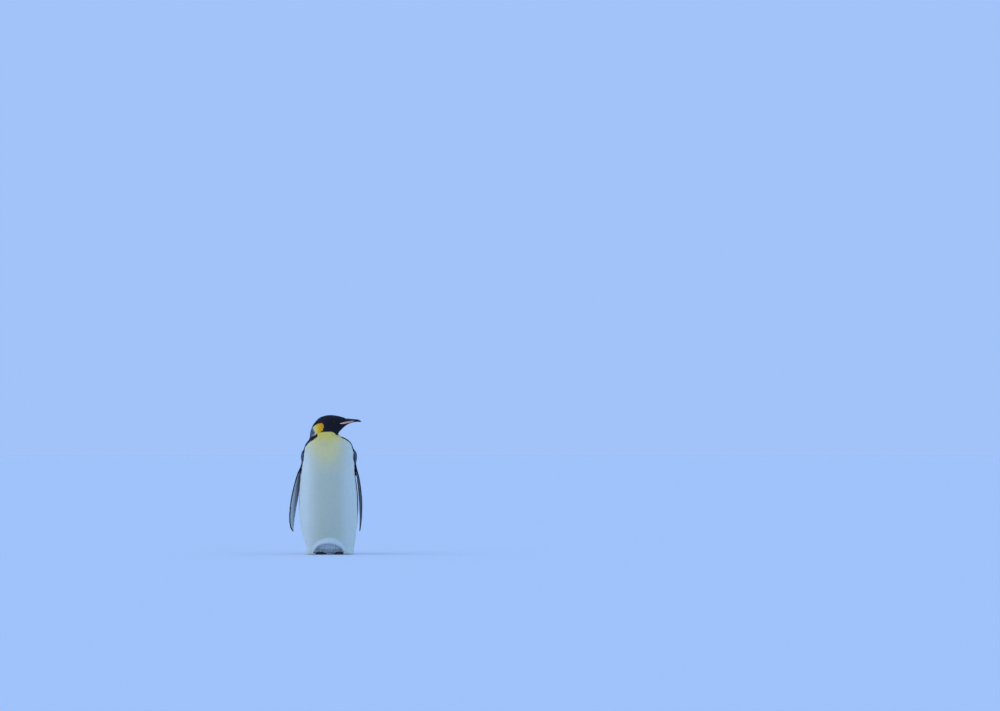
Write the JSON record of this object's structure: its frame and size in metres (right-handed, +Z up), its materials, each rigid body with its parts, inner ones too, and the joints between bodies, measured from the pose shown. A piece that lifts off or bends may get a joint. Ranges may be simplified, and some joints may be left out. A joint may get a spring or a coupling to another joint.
{
  "type": "emperor penguin",
  "caption": "Life-size still model of a standing adult emperor penguin, neck drawn in, flippers hanging at its sides and head turned square to its left.",
  "frame": {"origin": "on the floor, under the middle of the whole bird's bounding box", "axes": "+Z up, the body faces -Y, and the bird's left, where its bill points, is +X"},
  "size_m": [0.4254, 0.3414, 0.8068],
  "materials": {
    "white_plumage": "soft overlapping feathers, matte",
    "black_plumage": "short dense feathers, matte",
    "slate_plumage": "small scale-like feathers, matte",
    "foot_skin": "scaly black skin",
    "dark_horn": "smooth dark horn",
    "bill_plate": "smooth lilac-pink horn",
    "eye": "wet, dark brown"
  },
  "bodies": {
    "root": {"trunk": "white_plumage", "brood_fold": "white_plumage", "tail": "black_plumage", "right_leg": "white_plumage", "right_foot": "foot_skin", "right_inner_claw": "dark_horn", "right_middle_claw": "dark_horn", "right_outer_claw": "dark_horn", "right_flipper": "slate_plumage", "left_leg": "white_plumage", "left_foot": "foot_skin", "left_inner_claw": "dark_horn", "left_middle_claw": "dark_horn", "left_outer_claw": "dark_horn", "left_flipper": "slate_plumage", "neck": "white_plumage", "head": "black_plumage", "upper_bill": "dark_horn", "lower_bill": "dark_horn", "right_bill_plate": "bill_plate", "right_eye": "eye", "left_bill_plate": "bill_plate", "left_eye": "eye"}
  },
  "joints": []
}
